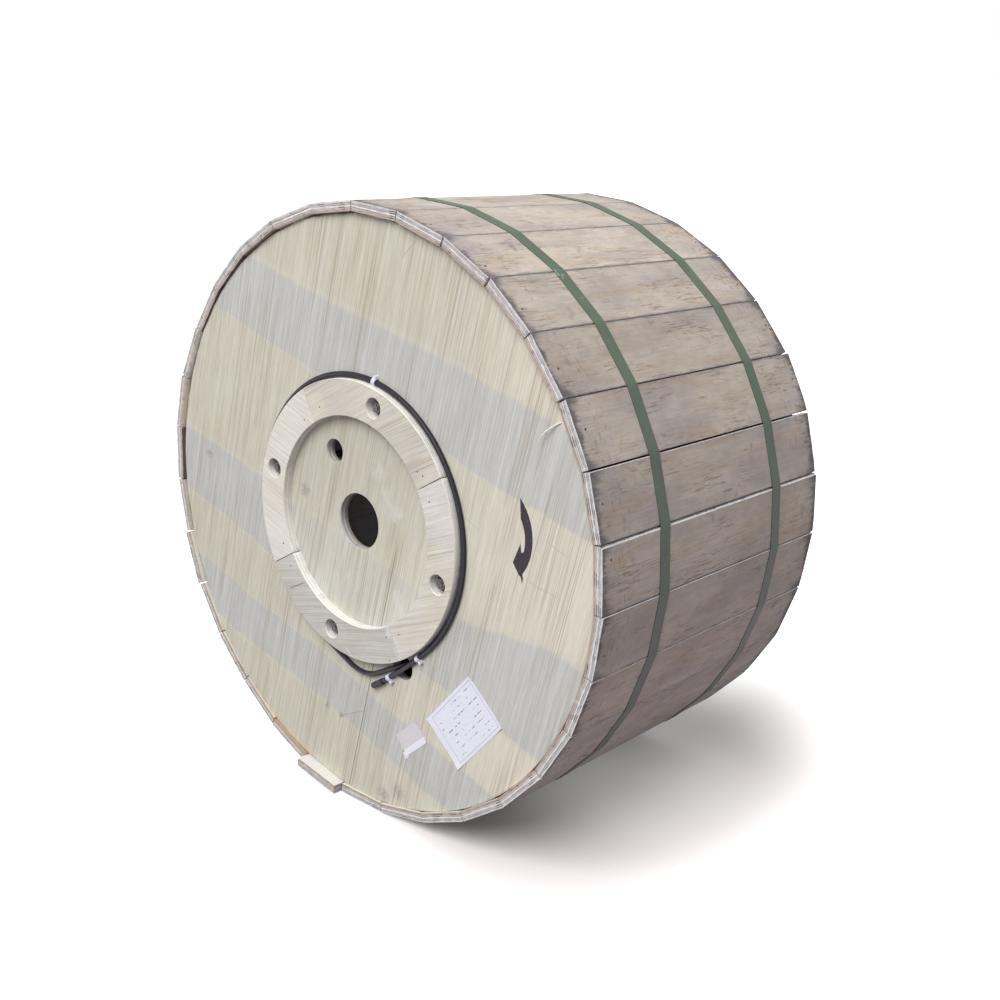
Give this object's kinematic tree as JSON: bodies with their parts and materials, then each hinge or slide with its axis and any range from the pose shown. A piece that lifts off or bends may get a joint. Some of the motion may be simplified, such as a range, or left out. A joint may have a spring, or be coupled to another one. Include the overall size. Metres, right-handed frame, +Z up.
{
  "type": "wooden cable drum",
  "caption": "Plywood cable drum lying on its lagging: round flanges with spindle bore and hub rings, boards strapped round the rims, and a cable end clipped round the hub.",
  "frame": {"origin": "middle of the spindle bore, on the drum axis halfway between the flanges", "axes": "+Y along the drum axis from the front flange to the back one, +Z up as the drum lies, +X to the right seen from the front"},
  "size_m": [1.0924, 0.637, 1.0909],
  "materials": {
    "flange_plywood": "matte raw plywood",
    "ring_plywood": "matte raw plywood",
    "batten_plywood": "matte weathered plywood",
    "barrel_board": "matte board",
    "cable_jacket": "satin black",
    "end_cap": "satin black",
    "strap_plastic": "embossed green strapping",
    "clip_plastic": "white plastic",
    "zinc_steel": "dull zinc plating"
  },
  "bodies": {
    "root": {"front_flange": "flange_plywood", "back_flange": "flange_plywood", "barrel": "barrel_board", "wound_cable": "cable_jacket", "tie_rods": "zinc_steel", "front_washers": "zinc_steel", "back_washers": "zinc_steel", "front_nuts": "zinc_steel", "back_nuts": "zinc_steel", "front_strap": "strap_plastic", "back_strap": "strap_plastic", "cable_tail": "cable_jacket", "cable_end_cap": "end_cap", "ring_clip": "clip_plastic", "tail_clip_1": "clip_plastic", "tail_clip_2": "clip_plastic", "front_hub_ring_1": "ring_plywood", "back_hub_ring_1": "ring_plywood", "front_hub_ring_2": "ring_plywood", "back_hub_ring_2": "ring_plywood", "front_hub_ring_3": "ring_plywood", "back_hub_ring_3": "ring_plywood", "front_hub_ring_4": "ring_plywood", "back_hub_ring_4": "ring_plywood", "lagging_batten_1": "batten_plywood", "lagging_batten_2": "batten_plywood", "lagging_batten_3": "batten_plywood", "lagging_batten_4": "batten_plywood", "lagging_batten_5": "batten_plywood", "lagging_batten_6": "batten_plywood", "lagging_batten_7": "batten_plywood", "lagging_batten_8": "batten_plywood", "lagging_batten_9": "batten_plywood", "lagging_batten_10": "batten_plywood", "lagging_batten_11": "batten_plywood", "lagging_batten_12": "batten_plywood", "lagging_batten_13": "batten_plywood", "lagging_batten_14": "batten_plywood", "lagging_batten_15": "batten_plywood", "lagging_batten_16": "batten_plywood", "lagging_batten_17": "batten_plywood", "lagging_batten_18": "batten_plywood", "lagging_batten_19": "batten_plywood", "lagging_batten_20": "batten_plywood", "lagging_batten_21": "batten_plywood", "lagging_batten_22": "batten_plywood", "lagging_batten_23": "batten_plywood", "lagging_batten_24": "batten_plywood", "lagging_batten_25": "batten_plywood", "lagging_batten_26": "batten_plywood", "lagging_batten_27": "batten_plywood", "lagging_batten_28": "batten_plywood", "lagging_batten_29": "batten_plywood", "lagging_batten_30": "batten_plywood", "lagging_batten_31": "batten_plywood"}
  },
  "joints": []
}
